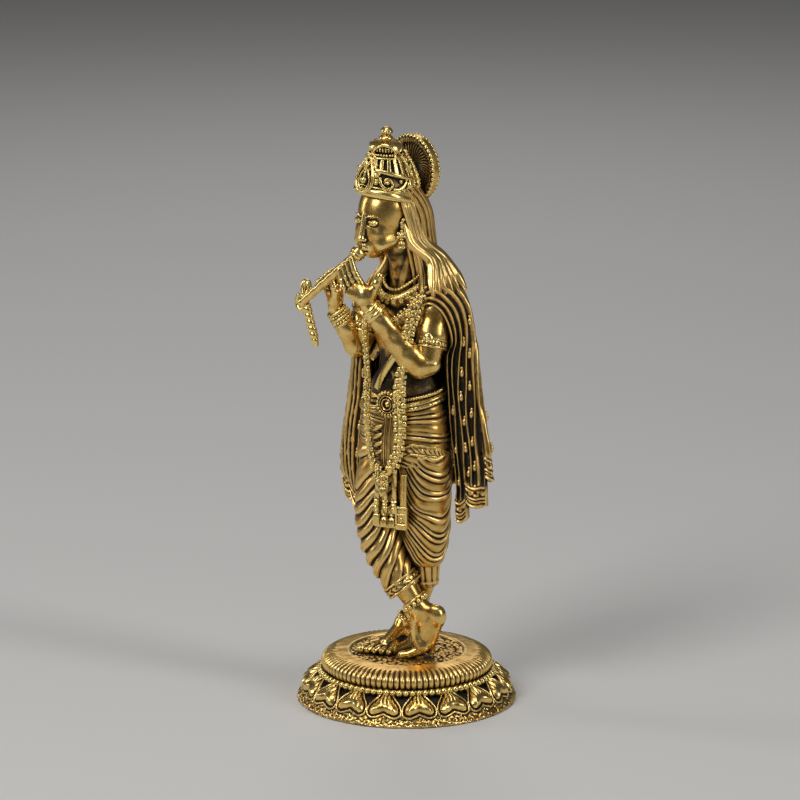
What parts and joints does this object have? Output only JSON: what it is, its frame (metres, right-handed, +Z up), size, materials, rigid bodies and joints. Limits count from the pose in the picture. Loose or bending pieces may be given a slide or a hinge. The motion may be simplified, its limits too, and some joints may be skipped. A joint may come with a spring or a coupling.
{
  "type": "hindu deity statue",
  "caption": "Small cast brass statue of a standing flute-playing Hindu deity with crown, garland and shawl, on a round double-lotus base",
  "frame": {"origin": "centre of the round base's underside, on the surface it stands on", "axes": "+Z up along the statue's height; the figure faces -Y and its own left side is +X"},
  "size_m": [0.0378, 0.038, 0.1],
  "materials": {
    "polished_brass": "polished",
    "aged_brass": "matte"
  },
  "bodies": {
    "root": {"base_shell": "aged_brass", "lotus_petals": "polished_brass", "bead_ring": "polished_brass", "fluted_collar": "aged_brass", "ground_disc": "aged_brass", "left_foot_peg": "aged_brass", "right_foot_peg": "aged_brass", "left_foot": "polished_brass", "right_foot": "polished_brass", "left_anklet": "polished_brass", "right_anklet": "polished_brass", "left_leg_drape": "aged_brass", "right_leg_drape": "aged_brass", "left_shin": "polished_brass", "right_hem_band": "polished_brass", "hip_drape": "aged_brass", "thigh_band": "polished_brass", "waist_belt": "polished_brass", "belt_medallion": "polished_brass", "front_pleats": "aged_brass", "sash_cords": "polished_brass", "sash_end": "polished_brass", "torso": "polished_brass", "neck": "polished_brass", "head": "polished_brass", "hair": "aged_brass", "left_earring": "polished_brass", "right_earring": "polished_brass", "crown_cap": "polished_brass", "crown_band": "polished_brass", "crown_plaque": "polished_brass", "crown_finial": "polished_brass", "halo_ring": "polished_brass", "halo_plate": "aged_brass", "left_upper_arm": "polished_brass", "left_forearm": "polished_brass", "left_hand": "polished_brass", "left_armlet": "polished_brass", "left_bracelet": "polished_brass", "right_upper_arm": "polished_brass", "right_forearm": "polished_brass", "right_hand": "polished_brass", "right_armlet": "polished_brass", "right_bracelet": "polished_brass", "flute": "polished_brass", "flute_knob": "polished_brass", "flute_tassel": "polished_brass", "choker": "polished_brass", "bead_necklace": "polished_brass", "flower_garland": "polished_brass", "garland_pendant": "polished_brass", "left_shawl": "aged_brass", "back_shawl": "aged_brass", "right_shawl": "aged_brass"}
  },
  "joints": []
}
